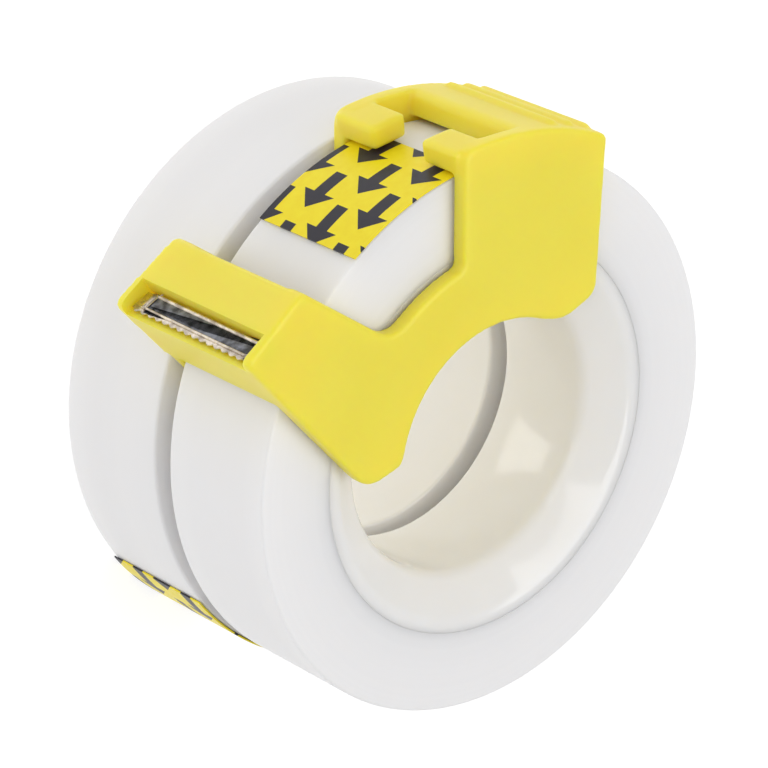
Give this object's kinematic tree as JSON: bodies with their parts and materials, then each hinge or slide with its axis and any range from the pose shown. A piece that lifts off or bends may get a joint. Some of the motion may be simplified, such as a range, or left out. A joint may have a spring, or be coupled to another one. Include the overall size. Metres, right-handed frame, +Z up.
{
  "type": "tape dispenser",
  "caption": "Clip-on hand tape dispenser with a serrated steel cutter on a roll of film tape, lying on a spare roll.",
  "frame": {"origin": "middle of the bounding box at the spare roll's lower side face", "axes": "+Z up along the rolls' common axis, from the spare roll to the dispenser; +Y towards the bridge; -X towards the cutter head; the rolls' axis is a few millimetres off the origin"},
  "size_m": [0.0776, 0.0768, 0.0426],
  "materials": {
    "tape_film": "satin wound film",
    "core_plastic": "glossy moulding",
    "printed_tab": "printed film with dark arrows",
    "clip_plastic": "satin moulding",
    "blade_steel": "bright pressed"
  },
  "bodies": {
    "spare_roll": {"spare_wound_tape": "tape_film", "spare_tape_core": "core_plastic", "spare_leader_tab": "printed_tab"},
    "dispenser": {"dispenser_clip": "clip_plastic", "cutter_blade": "blade_steel"},
    "tape_roll": {"wound_tape": "tape_film", "tape_core": "core_plastic", "leader_tab": "printed_tab"}
  },
  "joints": [
    {"name": "dispenser_lift", "type": "slide", "parent": "spare_roll", "child": "dispenser", "axis": [0, 0, 1], "range_m": [0, 0.04]},
    {"name": "tape_roll_spin", "type": "hinge", "parent": "dispenser", "child": "tape_roll", "pos_m": [0.00231, -0.00195, 0.0299], "axis": [0, 0, 1], "continuous": true}
  ]
}
